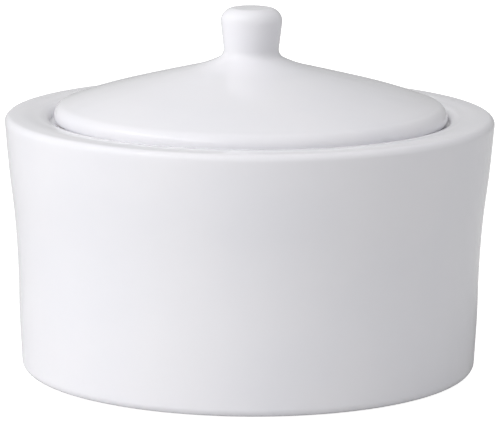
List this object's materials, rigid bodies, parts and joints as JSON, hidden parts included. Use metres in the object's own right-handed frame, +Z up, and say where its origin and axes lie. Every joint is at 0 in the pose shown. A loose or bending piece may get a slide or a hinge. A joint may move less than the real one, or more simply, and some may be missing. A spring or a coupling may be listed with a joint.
{
  "type": "lidded sugar bowl",
  "caption": "Round, slightly flared porcelain sugar bowl with a broad rolled rim, and a domed lid with a small knob that rests in the rim.",
  "frame": {"origin": "on the turning axis, in the plane of the foot ring that the bowl stands on", "axes": "+Z up along the turning axis, towards the knob; the piece is round, so +X and +Y are any two directions across it"},
  "size_m": [0.105, 0.105, 0.0781],
  "materials": {
    "bowl_glaze": "glossy clear glaze on white porcelain, bare on the foot ring and the lid's ledge",
    "lid_glaze": "glossy clear glaze on white porcelain, bare on the ring that the lid rests on"
  },
  "bodies": {
    "bowl_body": {"bowl": "bowl_glaze"},
    "lid_body": {"lid": "lid_glaze"}
  },
  "joints": [
    {"name": "lid_lift", "type": "slide", "parent": "bowl_body", "child": "lid_body", "axis": [0, 0, 1], "range_m": [0, 0.08]}
  ]
}
